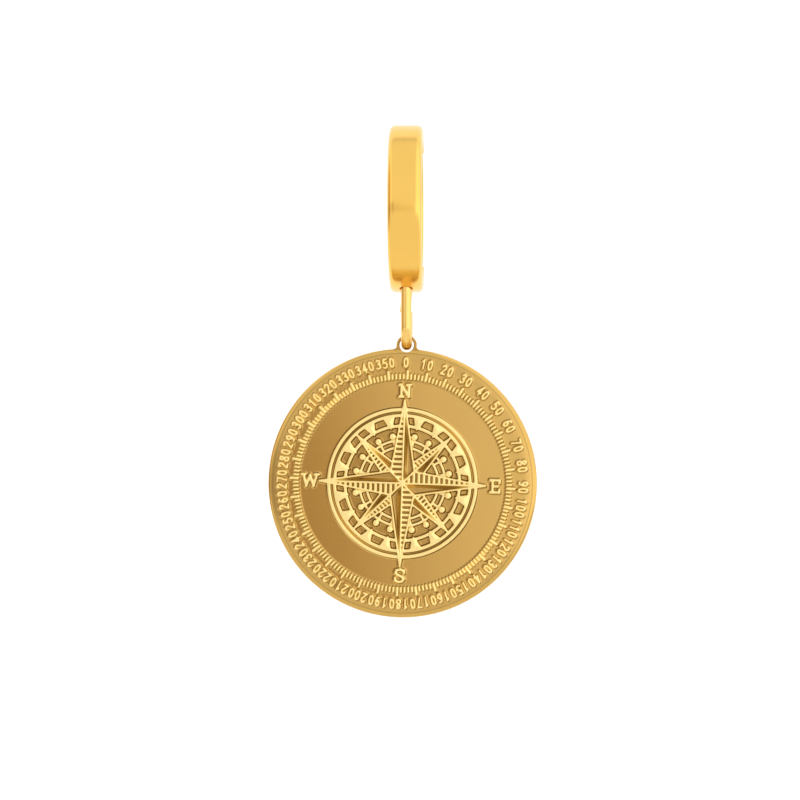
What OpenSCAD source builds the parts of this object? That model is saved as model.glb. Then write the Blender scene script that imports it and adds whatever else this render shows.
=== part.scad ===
// A compass medallion that hangs by an oval link from a small hoop, in millimetres.
// The dial faces -Y, up is +Z, and the origin is the inside top of the hoop, where it hangs.

/* [Hoop] */
// Outside diameter of the hoop
hoop_d = 12.4; // [11.5:0.1:14]
// Width of the band, seen from the front
band_w = 2.45; // [2.3:0.05:3]
// Thickness of the band, from its outside to its inside
band_t = 1.25; // [1.1:0.05:1.5]
// Rounding of the outer edges of the band and its arm
band_round = 0.42; // [0.2:0.02:0.5]
// Rounding of the inner edges of the band and its arm
inner_round = 0.2; // [0.1:0.02:0.3]

/* [Closing arm] */
// Width of the plain arm that closes the hoop behind
arm_w = 2.25; // [2:0.05:2.5]
// Angle from the top of the hoop back to the arm's upper end
arm_from = 28; // [22:1:36]
// Angle round the hoop that the arm covers
arm_span = 116; // [100:1:120]
// Width of the tongue at each end of the arm
tongue_w = 1; // [0.8:0.05:1.2]
// Thickness of the tongues
tongue_t = 0.5; // [0.4:0.05:0.6]
// How far a tongue reaches into the band
tongue_l = 0.8; // [0.5:0.05:1]
// Gap between the arm and the band
arm_gap = 0.06; // [0.04:0.01:0.1]

/* [Link] */
// Diameter of the link's wire
wire_d = 0.78; // [0.7:0.02:0.84]
// Radius of the link's two round ends, at the middle of the wire
link_r = 1.4; // [1.3:0.05:1.6]
// Depth of the wire's middle at the link's bottom, below the hoop
link_drop = 3.93; // [3.4:0.05:5]
// Room round the wire where it passes through the band
link_clear = 0.1; // [0.08:0.01:0.14]
// How far the link swings forwards and backwards
link_swing = 20; // [5:1:25]
// Depth of the split in the back leg, below the hoop
split_drop = 1.42; // [1.2:0.02:1.7]
// Opening of the split
split_gap = 0.06; // [0.04:0.01:0.1]
// How far the leg's upper end stands to the left at the split
split_shift = 0.2; // [0:0.02:0.24]

/* [Medallion] */
// Diameter of the disc
disc_d = 20; // [18.8:0.1:24]
// Thickness of the disc without its relief
disc_t = 1; // [0.8:0.05:1.1]
// Rounding of the disc's rim
rim_round = 0.25; // [0.1:0.05:0.35]
// Outer diameter of the ear
ear_d = 1.5; // [1.4:0.05:1.7]
// Thickness of the ear
ear_t = 0.8; // [0.7:0.02:0.82]
// Height of the ear's hole above the rim, at its middle
ear_rise = 0.28; // [0.2:0.02:0.5]
// Room round the wire in the ear's hole
ear_clear = 0.15; // [0.13:0.01:0.18]
// Rounding between the ear and the rim
ear_fillet = 0.4; // [0.3:0.05:0.6]
// How far the medallion has rolled on the link, clockwise
roll = 1.8; // [0:0.1:3]

/* [Dial] */
// Height of the relief above the field
relief = 0.2; // [0.1:0.02:0.3]
// Height of the stripes, arcs and stems above the field
low_relief = 0.1; // [0.04:0.02:0.2]
// Inner radius of the tick ring
tick_in = 7.67; // [7.6:0.01:7.75]
// Length of the short ticks
tick_len = 0.5; // [0.3:0.02:0.6]
// Length of the long ticks
tick_long = 0.77; // [0.6:0.01:0.8]
// Width of the short ticks
tick_w = 0.13; // [0.1:0.01:0.16]
// Width of the long ticks
tick_long_w = 0.19; // [0.14:0.01:0.24]
// Angle between one tick and the next
tick_step = 2; // [2:1:5]
// How far the tick ring is turned from the north point
tick_turn = 1; // [0:0.1:2]
// Radius of the foot of the numbers
number_in = 8.53; // [8.5:0.01:8.56]
// Height of the digits
digit_h = 0.84; // [0.6:0.02:0.84]
// Width of the digits
digit_w = 0.43; // [0.3:0.01:0.44]
// Distance from one digit to the next
digit_pitch = 0.5; // [0.45:0.01:0.52]
// Width of the digits' strokes
digit_stroke = 0.13; // [0.08:0.01:0.14]
// Radius of the middle of the four letters
letter_at = 6.87; // [6.8:0.01:6.95]
// Height of the letters
letter_h = 1.06; // [0.8:0.02:1.1]
// Width of the letters' strokes
letter_stroke = 0.17; // [0.1:0.01:0.2]

/* [Rose] */
// Radius of the four main points' tips
main_tip = 6.28; // [5.9:0.02:6.3]
// Radius of the valleys between the main points
main_valley = 1.3; // [1.1:0.02:1.5]
// Radius of the four diagonal points' tips
side_tip = 5; // [4.6:0.02:5.1]
// Half width of a diagonal point where it leaves the middle
side_half = 0.7; // [0.55:0.01:0.75]
// Width of the points' outlines and middle ridges
outline_w = 0.15; // [0.1:0.01:0.18]
// Distance from one stripe to the next on a main point
main_pitch = 0.375; // [0.3:0.005:0.5]
// Distance from one stripe to the next on a diagonal point
side_pitch = 0.3; // [0.25:0.005:0.4]
// Outer radius of the plain ring
ring_out = 5.61; // [5.55:0.01:5.7]
// Inner radius of the plain ring, where the sunken middle starts
ring_in = 5.32; // [5.28:0.01:5.36]
// Depth of the sunken middle
pocket = 0.1; // [0.04:0.01:0.15]
// Outer radius of the band of windows
window_out = 5.12; // [5.05:0.01:5.18]
// Inner radius of the band of windows
window_in = 4.12; // [4:0.02:4.2]
// Width of the two rings that hold the windows
window_rim = 0.22; // [0.16:0.01:0.26]
// Half width of a post between the windows, at its outer end
post_half = 0.45; // [0.35:0.01:0.5]
// How far a post's tip reaches past the windows, inwards
post_tip = 0.14; // [0.05:0.01:0.2]
// Angle of a post and a stem from the middle of their sector
post_angle = 9.2; // [8.6:0.1:9.8]
// Radius of the middle of the round stem heads
head_at = 3.54; // [3.5:0.01:3.6]
// Diameter of the round stem heads
head_d = 0.48; // [0.4:0.02:0.56]
// Radius of the outer arc, at its middle
arc_out = 3.2; // [3.1:0.02:3.24]
// Radius of the inner arc, at its middle
arc_in = 2.68; // [2.6:0.02:2.8]
// Width of the arcs and stems
arc_w = 0.18; // [0.12:0.01:0.22]

/* [Hidden] */
$fn = 48;

hoop_r = hoop_d / 2;
inside_r = hoop_r - band_t;
hoop_z = -inside_r;
wire_r = wire_d / 2;
tunnel_r = wire_r + link_clear;
// The link's upper bend goes round a bridge that the tunnels leave in the band.
bend_z = hoop_z - inside_r - (link_r - tunnel_r);
pivot_z = hoop_z - hoop_r - link_drop;
lower_bend_z = pivot_z + link_r;
split_z = hoop_z - hoop_r - split_drop;
disc_r = disc_d / 2;
disc_z = -(disc_r + ear_rise);
ear_r = ear_d / 2;
hole_r = wire_r + ear_clear;
tongue_angle = tongue_l / (inside_r + band_t / 2) * 180 / PI;
gap_angle = arm_gap / (inside_r + band_t / 2) * 180 / PI;
// How deep the relief is rooted in the disc, and how far a cut runs past a face
root = 0.1;
past = 1;

// Each digit is a list of strokes, and a stroke's points are shares of its width and height.
digit_strokes = [
    [],
    [[[0.1, 0.82], [0.5, 1]], [[0.5, 1], [0.5, 0]]],
    [[[0, 0.8], [0.5, 1], [1, 0.72], [0, 0], [1, 0]]],
    [[[0, 1], [1, 1], [0.45, 0.58]], [[0.45, 0.58], [1, 0.3], [0.5, 0], [0, 0.15]]],
    [[[0.75, 0], [0.75, 1], [0, 0.3]], [[0, 0.3], [1, 0.3]]],
    [[[1, 1], [0, 1], [0, 0.58], [0.8, 0.55], [0.9, 0.15], [0, 0]]],
    [[[0.9, 1], [0, 0.5], [0, 0], [1, 0], [1, 0.45]], [[0, 0.45], [1, 0.45]]],
    [[[0, 1], [1, 1], [0.35, 0]]],
    [[[0, 0.53], [0, 1], [1, 1], [1, 0.53]], [[0, 0.53], [0, 0], [1, 0], [1, 0.53]], [[0, 0.53], [1, 0.53]]],
    [[[0.1, 0], [1, 0.5], [1, 1], [0, 1], [0, 0.55]], [[0, 0.55], [1, 0.55]]]
];

// The letters' strokes are shares of the letter's height in both directions, from its middle.
letter_strokes = [
    [[[-0.28, -0.45], [-0.28, 0.45]], [[-0.28, 0.45], [0.28, -0.45]], [[0.28, -0.45], [0.28, 0.45]],
     [[-0.4, 0.45], [-0.28, 0.45]], [[-0.4, -0.45], [-0.16, -0.45]], [[0.16, 0.45], [0.4, 0.45]]],
    [[[0.38, -0.25], [0.38, -0.45], [-0.38, -0.45]], [[-0.38, 0.45], [0.38, 0.45], [0.38, 0.25]],
     [[-0.22, -0.45], [-0.22, 0.45]], [[-0.22, 0], [0.2, 0]]],
    [[[0.32, 0.2], [0.32, 0.38], [0.05, 0.45], [-0.28, 0.36], [-0.28, 0.14], [0.3, -0.12], [0.3, -0.36],
      [0, -0.45], [-0.32, -0.36], [-0.32, -0.18]]],
    [[[-0.52, 0.45], [-0.27, -0.42]], [[-0.27, -0.42], [0, 0.4]], [[0, 0.4], [0.27, -0.42]],
     [[0.27, -0.42], [0.52, 0.45]], [[-0.62, 0.45], [-0.38, 0.45]], [[0.38, 0.45], [0.62, 0.45]]]
];

// Turns a profile round the hoop's axis, which lies along X, from an angle measured
// from the top forwards.
module round_hoop(from, span) {
    translate([0, 0, hoop_z]) rotate([90, 0, 90]) rotate_extrude(angle = span, start = 90 + from) children();
}

// A band's cross-section, with small rounds inside and larger ones outside
module band_section(width) {
    inner_at = inside_r + inner_round;
    outer_at = hoop_r - band_round;
    translate([inner_at, -width / 2]) square([outer_at - inner_at, width]);
    translate([inside_r, inner_round - width / 2]) square([inner_round, width - 2 * inner_round]);
    translate([outer_at, band_round - width / 2]) square([band_round, width - 2 * band_round]);
    for (side = [-1, 1]) {
        translate([inner_at, side * (width / 2 - inner_round)]) circle(inner_round);
        translate([outer_at, side * (width / 2 - band_round)]) circle(band_round);
    }
}

module tongue_section(extra) {
    translate([inside_r + band_t / 2, 0]) square([tongue_t + 2 * extra, tongue_w + 2 * extra], center = true);
}

// The link's legs, straight down from the upper bend
module leg_tunnels() {
    for (turn = [-link_swing, 0, link_swing], side = [-1, 1])
        rotate([turn, 0, 0]) translate([0, side * link_r, -band_t]) cylinder(r = tunnel_r, h = band_t);
}

module bend(radius, tube, span, from) {
    rotate([90, 0, 90]) rotate_extrude(angle = span, start = from) translate([radius, 0]) circle(tube);
}

// The front and bottom of the hoop, one polished band
module hoop_band() {
    color("goldenrod") difference() {
        round_hoop(-arm_from + gap_angle, 360 - arm_span - 2 * gap_angle) band_section(band_w);
        round_hoop(-arm_from, tongue_angle + 2 * gap_angle) tongue_section(arm_gap);
        round_hoop(-arm_from - arm_span - tongue_angle - 2 * gap_angle, tongue_angle + 2 * gap_angle)
            tongue_section(arm_gap);
        translate([0, 0, bend_z]) {
            bend(link_r, tunnel_r, 360, 0);
            leg_tunnels();
        }
    }
}

// The plain arm that closes the hoop behind, with a tongue at each end
module closing_arm() {
    color("darkgoldenrod") {
        round_hoop(-arm_from - arm_span, arm_span) band_section(arm_w);
        round_hoop(-arm_from - arm_span - tongue_angle, arm_span + 2 * tongue_angle) tongue_section(0);
    }
}

// The oval link, split in its back leg, where the upper end leans to the left
module link() {
    upper_leg = bend_z - split_z - split_gap / 2;
    lean = asin(split_shift / upper_leg);
    color("gold") {
        translate([0, 0, bend_z]) bend(link_r, wire_r, 180, 0);
        translate([0, 0, lower_bend_z]) bend(link_r, wire_r, 180, 180);
        translate([0, -link_r, lower_bend_z]) cylinder(r = wire_r, h = bend_z - lower_bend_z);
        translate([0, link_r, lower_bend_z]) cylinder(r = wire_r, h = split_z - split_gap / 2 - lower_bend_z);
        translate([0, link_r, bend_z]) {
            sphere(wire_r);
            rotate([0, 180 + lean, 0]) cylinder(r = wire_r, h = upper_leg);
        }
    }
}

// Stands a drawing in the XZ plane, with its front towards -Y
module upright(thickness, front) {
    translate([0, front, 0]) rotate([90, 0, 0]) translate([0, 0, -thickness]) linear_extrude(thickness) children();
}

module disc() {
    flat = disc_t / 2 - rim_round;
    translate([0, 0, disc_z]) rotate([90, 0, 0]) rotate_extrude() {
        translate([0, -disc_t / 2]) square([disc_r - rim_round, disc_t]);
        translate([0, -flat]) square([disc_r, 2 * flat]);
        for (side = [-1, 1]) translate([disc_r - rim_round, side * flat]) circle(rim_round);
    }
}

// The ear and its two concave fillets, each tangent to the ear and to the rim
module ear() {
    reach = ear_r + ear_fillet;
    fillet_y = (pow(disc_r + ear_fillet, 2) - pow(reach, 2) - pow(disc_z, 2)) / (-2 * disc_z);
    fillet_x = sqrt(pow(reach, 2) - pow(fillet_y, 2));
    on_ear = [fillet_x, fillet_y] * ear_r / reach;
    on_rim = [fillet_x, fillet_y - disc_z] * disc_r / (disc_r + ear_fillet) + [0, disc_z];
    upright(ear_t, -ear_t / 2) {
        circle(ear_r);
        difference() {
            polygon([on_ear, on_rim, [on_rim[0], on_rim[1] - rim_round], [-on_rim[0], on_rim[1] - rim_round],
                     [-on_rim[0], on_rim[1]], [-on_ear[0], on_ear[1]]]);
            for (side = [-1, 1]) translate([side * fillet_x, fillet_y]) circle(ear_fillet);
        }
    }
}

function left_of(run) = [-run[1], run[0]] / norm(run);

// The way from a stroke's middle line to its edge at one of its points. The corners are mitred,
// up to a limit, and the ends are square.
function edge_way(points, i) =
    let (before = left_of(points[max(i, 1)] - points[max(i, 1) - 1]),
         after = left_of(points[min(i, len(points) - 2) + 1] - points[min(i, len(points) - 2)]))
    (before + after) / max(1 + before * after, 0.7);

// One stroke from point to point
module stroke(points, width) {
    last = len(points) - 1;
    start = (points[0] - points[1]) / norm(points[0] - points[1]);
    end = (points[last] - points[last - 1]) / norm(points[last] - points[last - 1]);
    middle = [for (i = [0 : last]) points[i] + (i == 0 ? start : i == last ? end : [0, 0]) * width / 2];
    polygon([for (i = [0 : last]) middle[i] + edge_way(points, i) * width / 2,
             for (i = [last : -1 : 0]) middle[i] - edge_way(points, i) * width / 2]);
}

module zero() {
    corner = digit_w / 3;
    difference() {
        polygon([for (s = [[1, 1], [-1, 1], [-1, -1], [1, -1]])
                 for (k = s[0] * s[1] > 0 ? [0, 1] : [1, 0])
                 [s[0] * (digit_w / 2 - (k == 0 ? 0 : corner)), s[1] * (digit_h / 2 - (k == 0 ? corner : 0))]]);
        square([digit_w - 2 * digit_stroke, digit_h - 3 * digit_stroke], center = true);
    }
}

// One digit, standing on its own middle
module digit(n) {
    if (n == 0) zero();
    for (line = digit_strokes[n])
        stroke([for (p = line) [(p[0] - 0.5) * (digit_w - digit_stroke), (p[1] - 0.5) * (digit_h - digit_stroke)]],
               digit_stroke);
}

// The number of degrees, read from outside
module number(degrees) {
    name = str(degrees);
    for (i = [0 : len(name) - 1])
        translate([(i - (len(name) - 1) / 2) * digit_pitch, number_in + digit_h / 2]) digit(ord(name[i]) - 48);
}

module ticks() {
    for (bearing = [0 : tick_step : 359]) {
        long = bearing % 10 == 0;
        width = long ? tick_long_w : tick_w;
        rotate(-bearing - tick_turn) translate([-width / 2, tick_in]) square([width, long ? tick_long : tick_len]);
    }
}

// The letter of one of the four quarters, upright on the dial
module letter(k) {
    translate(letter_at * [sin(90 * k), cos(90 * k)])
        for (line = letter_strokes[k]) stroke([for (p = line) p * letter_h], letter_stroke);
}

module main_star() {
    polygon([for (k = [0 : 7]) (k % 2 == 0 ? main_tip : main_valley) * [sin(45 * k), cos(45 * k)]]);
}

module side_star() {
    for (k = [0 : 3]) rotate(-45 - 90 * k)
        polygon([[0, side_tip], [side_half, main_valley], [0, 0], [-side_half, main_valley]]);
}

module ring(outer, width) {
    difference() {
        circle(outer);
        circle(outer - width);
    }
}

// The outlines and middle ridges of a star
module star_lines(tip, first) {
    difference() {
        children();
        offset(delta = -outline_w) children();
    }
    intersection() {
        children();
        for (k = [0 : 3]) rotate(-first - 90 * k) translate([-outline_w / 2, 0]) square([outline_w, tip]);
    }
}

// Stripes across the left half of each point, from its ridge into its outline. The point narrows
// evenly from its half width at its base to its tip.
module stripes(tip, base, half, first, start, pitch) {
    width = function (at) min(at, half * (tip - at) / (tip - base)) - outline_w / 2;
    last = tip - 1.5 * outline_w * (tip - base) / half;
    for (k = [0 : 3], at = [start : pitch : last]) rotate(-first - 90 * k)
        polygon([[0, at], [-width(at), at], [-width(at + pitch / 2), at + pitch / 2], [0, at + pitch / 2]]);
}

// The posts between the windows and the stems below them, two in each sector of the rose
module at_posts() {
    for (k = [0 : 7], side = [-1, 1]) rotate(-22.5 - 45 * k - side * post_angle) children();
}

module rose_rings() {
    inner_edge = window_in + window_rim;
    ring(window_out, window_rim);
    ring(inner_edge, window_rim);
    at_posts() {
        polygon([[-post_half, window_out - window_rim / 2], [post_half, window_out - window_rim / 2],
                 [post_half / 2, inner_edge], [0, window_in - post_tip], [-post_half / 2, inner_edge]]);
        translate([0, head_at]) circle(d = head_d, $fn = 10);
    }
}

module stems() {
    ring(arc_out + arc_w / 2, arc_w);
    ring(arc_in + arc_w / 2, arc_w);
    at_posts() translate([-arc_w / 2, arc_in]) square([arc_w, head_at - arc_in]);
}

// Lines of the dial raised by one height and rooted in the disc
module raised(height) {
    translate([0, 0, disc_z]) upright(height + pocket + root, -disc_t / 2 - height) children();
}

// Strokes that cross, merged to one drawing
module merged() {
    offset(delta = 0.001) children();
}

// What the main points cover, up to the middle of their outlines
module main_cover() {
    offset(delta = -outline_w / 2) main_star();
}

// What the star covers is left out of the rings and stems behind it.
module behind_star() {
    difference() {
        children();
        main_cover();
        offset(delta = -outline_w / 2) side_star();
    }
}

module relief_lines() {
    valley_at = main_valley / sqrt(2);
    raised(relief) ticks();
    for (k = [0 : 35]) raised(relief) merged() rotate(-10 * k) number(10 * k);
    for (k = [0 : 3]) raised(relief) merged() letter(k);
    raised(relief) merged() star_lines(main_tip, 0) main_star();
    raised(relief) merged() difference() {
        star_lines(side_tip, 45) side_star();
        main_cover();
    }
    raised(relief) merged() behind_star() ring(ring_out, ring_out - ring_in);
    raised(relief) merged() behind_star() rose_rings();
    raised(low_relief) stripes(main_tip, valley_at, valley_at, 0, main_pitch, main_pitch);
    raised(low_relief) stripes(side_tip, main_valley, side_half, 45, main_valley + 2 * side_pitch, side_pitch);
    raised(low_relief) merged() behind_star() stems();
}

// The cast disc with its ear and the raised dial, one solid
module medallion() {
    color("orange") translate([0, 0, pivot_z]) rotate([0, roll, 0]) {
        difference() {
            union() {
                disc();
                ear();
            }
            translate([0, pocket - disc_t / 2, disc_z]) rotate([90, 0, 0])
                cylinder(r = (ring_in + ring_out) / 2, h = past);
            rotate([90, 0, 0]) cylinder(r = hole_r, h = 2 * past, center = true);
        }
        relief_lines();
    }
}

hoop_band();
closing_arm();
link();
medallion();
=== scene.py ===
"""The looks of a gold compass medallion that hangs by a wire link from a small hoop.

Shapes are worked out in millimetres, in the part's own frame, and become metres in new_mesh. The
dial faces -Y, up is +Z, and the origin is the inside top of the hoop.
"""

import math

import bmesh
import bpy
import numpy as np
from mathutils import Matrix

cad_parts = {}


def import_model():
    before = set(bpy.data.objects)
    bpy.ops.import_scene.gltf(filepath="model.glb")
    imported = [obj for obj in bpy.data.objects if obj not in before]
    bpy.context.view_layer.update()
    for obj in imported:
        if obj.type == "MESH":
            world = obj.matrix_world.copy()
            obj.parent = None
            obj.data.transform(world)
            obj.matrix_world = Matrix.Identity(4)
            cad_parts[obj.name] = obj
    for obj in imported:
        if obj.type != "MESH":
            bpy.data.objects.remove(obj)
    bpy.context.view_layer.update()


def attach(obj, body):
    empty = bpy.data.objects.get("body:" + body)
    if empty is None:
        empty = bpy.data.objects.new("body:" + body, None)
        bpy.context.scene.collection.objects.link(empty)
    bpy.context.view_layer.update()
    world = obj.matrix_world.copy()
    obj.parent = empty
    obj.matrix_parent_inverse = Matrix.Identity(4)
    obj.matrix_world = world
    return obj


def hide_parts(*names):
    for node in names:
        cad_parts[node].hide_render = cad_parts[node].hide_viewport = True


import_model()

MM = 0.001

# Hoop and closing arm
HOOP_R = 6.2
BAND_W = 2.45
BAND_T = 1.25
BAND_ROUND = 0.42
INNER_ROUND = 0.2
CROWN = 0.006
ARM_W = 2.25
ARM_FROM = 28
ARM_SPAN = 116
ARM_GAP = 0.06
HOOP_STEPS = 240
ARM_STEPS = 120

# Link
WIRE_R = 0.39
LINK_R = 1.4
LINK_DROP = 3.93
LINK_CLEAR = 0.1
LINK_SWING = 20
SPLIT_DROP = 1.42
SPLIT_GAP = 0.06
SPLIT_SHIFT = 0.2
# The leg above the split leaves the upright by this power of the way down.
SPLIT_BEND = 1.5
# How far the wire's two ends are rounded, as a share of its radius
WIRE_END = 0.2
LEG_STEPS = 14
LOW_LEG_STEPS = 8
BEND_STEPS = 40
# The tunnel round the link's upper bend, in degrees from +Y towards +Z
TUNNEL_FROM = -30
TUNNEL_TO = 210
TUNNEL_STEPS = 60
TUNNEL_SIDES = 32

# Medallion
DISC_R = 10.0
DISC_T = 1.0
RIM_ROUND = 0.25
RIM_STEPS = 8
DISC_SIDES = 360
# The rings of the plain back, as shares of the disc's radius
BACK_RINGS = (0.9, 0.7, 0.45, 0.2, 0)
EAR_R = 0.75
EAR_T = 0.8
EAR_RISE = 0.28
EAR_CLEAR = 0.15
EAR_FILLET = 0.25
EAR_BEVEL = 0.07
EAR_SIDES = 48
FILLET_STEPS = 12
# How far the ear's foot reaches into the disc, and its width there as a share
EAR_FOOT = 0.5
EAR_FOOT_W = 0.9
ROLL = 1.8

# Dial
RELIEF = 0.2
LOW_RELIEF = 0.1
POCKET = 0.1
TICK_IN = 7.67
TICK_LEN = 0.5
TICK_LONG = 0.77
TICK_W = 0.2
TICK_LONG_W = 0.24
TICK_STEP = 2
TICK_TURN = 1
NUMBER_IN = 8.55
DIGIT_H = 0.84
DIGIT_W = 0.45
DIGIT_PITCH = 0.5
DIGIT_STROKE = 0.175
LETTER_AT = 6.87
LETTER_H = 1.0
LETTER_STROKE = 0.235

# Rose, where tops are shares of the relief
MAIN_TIP = 6.28
MAIN_VALLEY = 1.3
SIDE_TIP = 5.0
SIDE_HALF = 0.66
OUTLINE_W = 0.19
OUTLINE_TOP = 1.1
OUTLINE_SHORT = 0.12
OUTLINE_INSET = 0.05
MAIN_PITCH = 0.375
SIDE_PITCH = 0.3
HATCH_START = 0.1
HATCH_TOP = 0.8
HATCH_FLOOR = -0.01
HATCH_CUT = 0.34
HATCH_SLOPE = 0.1
FACET_TOP = 0.65
FACET_SLOPE = 0.7
RING_OUT = 5.61
RING_IN = 5.33
RING_TOP = 0.9
WINDOW_OUT = 5.16
WINDOW_IN = 4.12
WINDOW_RIM = 0.27
POST_HALF = 0.5
POST_TIP = 0.14
POST_RIDGE = 0.12
POST_ANGLE = 9.2
HEAD_AT = 3.54
HEAD_R = 0.26
HEAD_TOP = 0.7
HEAD_DOME = 0.5
ARC_OUT = 3.2
ARC_IN = 2.68
ARC_W = 0.22

# Zones of the dial, each a mesh of its own
STAR_R = 4.0
ROSE_R = 5.8
LETTERS_R = 7.58
TICKS_R = 8.5
DIAL_R = 9.7
STEP = 0.028
WIDE_STEP = 0.04
FALL_FROM = 8.9
FALL = 0.12
SEAT = 0.3

# The dial's finish and painted light: raised parts with a satin finish and a painted highlight, painted
# shadow at the feet round them, painted shade on the sunk ground and a painted shade line at the edge
RAISED_FROM = 0.01
RAISED_OVER = 0.05
FOOT_REACH = 0.05
FOOT_RISE = 0.05
FOOT_FROM = 0.1
FOOT_ON_RAISED = 0.6
FOOT_RADII = (RING_IN - 0.1, RING_IN, ROSE_R, LETTERS_R, TICKS_R)
FOOT_SHARES = (0.68, 1, 1, 0.75, 0.5)
SUNK_SHADE = 0.2
EDGE_LINE = 9.66
EDGE_REACH = 0.05
EDGE_SHADE = 0.4

HOOP_Z = BAND_T - HOOP_R
INSIDE_R = HOOP_R - BAND_T
BEND_Z = HOOP_Z - INSIDE_R - (LINK_R - WIRE_R - LINK_CLEAR)
PIVOT_Z = HOOP_Z - HOOP_R - LINK_DROP
DISC_Z = -(DISC_R + EAR_RISE)


def mesh_of(name, points, faces):
    """A mesh from points in millimetres."""
    mesh = bpy.data.meshes.new(name)
    mesh.from_pydata([tuple(p) for p in np.asarray(points) * MM], [], faces)
    return mesh


def face_outwards(mesh):
    """Turns every face of a closed mesh outwards."""
    bm = bmesh.new()
    bm.from_mesh(mesh)
    bmesh.ops.recalc_face_normals(bm, faces=bm.faces)
    bm.to_mesh(mesh)
    bm.free()


def shade(mesh, sharp):
    """Smooth shading, with edges kept sharp above an angle in degrees."""
    mesh.shade_smooth()
    mesh.set_sharp_from_angle(angle=math.radians(sharp))


def add_object(name, data):
    """An object in the scene, from a mesh, a curve or a camera."""
    made = bpy.data.objects.new(name, data)
    bpy.context.scene.collection.objects.link(made)
    return made


def new_mesh(name, points, faces, body, slot, material, sharp=40):
    """A mesh object that rides on a body, from points in millimetres."""
    mesh = mesh_of(name, points, faces)
    mesh.validate()
    face_outwards(mesh)
    shade(mesh, sharp)
    mesh.materials.append(material)
    piece = add_object(name, mesh)
    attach(piece, body)
    return piece


def circle_points(radius, count):
    """Points round a circle, anticlockwise from its right."""
    angles = 2 * math.pi * np.arange(count) / count
    return np.stack([radius * np.cos(angles), radius * np.sin(angles)], 1)


# Swept pieces

def band_profile(width, steps=7, across=14):
    """The band's section as (distance from the hoop's centre, x), with a slightly crowned outside."""
    out_at, in_at = HOOP_R - BAND_ROUND, INSIDE_R + INNER_ROUND
    half_out, half_in = width / 2 - BAND_ROUND, width / 2 - INNER_ROUND
    corners = [(out_at, half_out, BAND_ROUND, 0), (in_at, half_in, INNER_ROUND, 90),
               (in_at, -half_in, INNER_ROUND, 180), (out_at, -half_out, BAND_ROUND, 270)]
    points = []
    for at, side, radius, start in corners:
        for i in range(steps + 1):
            angle = math.radians(start + 90 * i / steps)
            points.append((at + radius * math.cos(angle), side + radius * math.sin(angle)))
    for i in range(1, across):
        points.append((HOOP_R, -half_out + 2 * half_out * i / across))
    points = np.array(points)
    outside = points[:, 0] > HOOP_R - BAND_ROUND
    points[outside, 0] -= CROWN * (points[outside, 1] / (width / 2)) ** 2
    return points


def sweep_round_hoop(profile, start, span, steps):
    """Sweeps a section round the hoop's axis, from an angle measured from the top forwards."""
    count = len(profile)
    points, faces = [], []
    for j in range(steps + 1):
        angle = math.radians(start + span * j / steps)
        for radius, x in profile:
            points.append((x, -radius * math.sin(angle), HOOP_Z + radius * math.cos(angle)))
    for j in range(steps):
        for i in range(count):
            k = (i + 1) % count
            faces.append((j * count + i, j * count + k, (j + 1) * count + k, (j + 1) * count + i))
    faces.append(tuple(range(count)))
    faces.append(tuple(range(steps * count, (steps + 1) * count)))
    return points, faces


def sweep_wire(path, radius, sides=28, rounds=4):
    """A wire with rounded ends along a path of points."""
    path = np.array(path)
    run = np.gradient(path, axis=0)
    run /= np.linalg.norm(run, axis=1)[:, None]
    turns = np.linspace(math.pi / 2, 0, rounds, endpoint=False)

    def end_ring(at, way, outwards, angle):
        """A ring of a rounded end: its middle, the wire's direction there and its radius."""
        centre = at + outwards * way * radius * WIRE_END * math.sin(angle)
        return centre, way, radius * (1 - WIRE_END + WIRE_END * math.cos(angle))

    rings = [end_ring(path[0], run[0], -1, a) for a in turns]
    rings += [(p, r, radius) for p, r in zip(path, run)]
    rings += [end_ring(path[-1], run[-1], 1, a) for a in turns[::-1]]
    side = np.array([1.0, 0, 0])
    points, faces = [], []
    for centre, way, r in rings:
        across = side - way * side.dot(way)
        across /= np.linalg.norm(across)
        other = np.cross(way, across)
        for i in range(sides):
            a = 2 * math.pi * i / sides
            points.append(centre + r * (math.cos(a) * across + math.sin(a) * other))
    for j in range(len(rings) - 1):
        for i in range(sides):
            k = (i + 1) % sides
            faces.append((j * sides + i, j * sides + k, (j + 1) * sides + k, (j + 1) * sides + i))
    faces.append(tuple(range(sides)))
    faces.append(tuple(range((len(rings) - 1) * sides, len(rings) * sides)))
    return points, faces


def in_plane(centre_z, radius, angles):
    """Points on a circle in the YZ plane, with angles from +Y towards +Z."""
    return [(0, radius * math.cos(math.radians(a)), centre_z + radius * math.sin(math.radians(a)))
            for a in angles]


def link_path():
    """The link's middle line, from the upper end at the split, over, down and round to the lower end."""
    low_bend = PIVOT_Z + LINK_R
    split_z = HOOP_Z - HOOP_R - SPLIT_DROP
    top_end, low_end = split_z + SPLIT_GAP / 2, split_z - SPLIT_GAP / 2
    leg = np.linspace(top_end, BEND_Z, LEG_STEPS, endpoint=False)
    path = [(-SPLIT_SHIFT * ((BEND_Z - z) / (BEND_Z - top_end)) ** SPLIT_BEND, LINK_R, z) for z in leg]
    path += in_plane(BEND_Z, LINK_R, np.linspace(0, 180, BEND_STEPS))
    path += [(0, -LINK_R, z) for z in np.linspace(BEND_Z, low_bend, LEG_STEPS)[1:-1]]
    path += in_plane(low_bend, LINK_R, np.linspace(180, 360, BEND_STEPS))
    path += [(0, LINK_R, z) for z in np.linspace(low_bend, low_end, LOW_LEG_STEPS)[1:]]
    return path


def tunnel_cutter():
    """The room that the link's upper bend needs in the band, as a thicker wire round the same bend."""
    path = in_plane(BEND_Z, LINK_R, np.linspace(TUNNEL_FROM, TUNNEL_TO, TUNNEL_STEPS))
    return sweep_wire(path, WIRE_R + LINK_CLEAR, sides=TUNNEL_SIDES, rounds=1)


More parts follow.
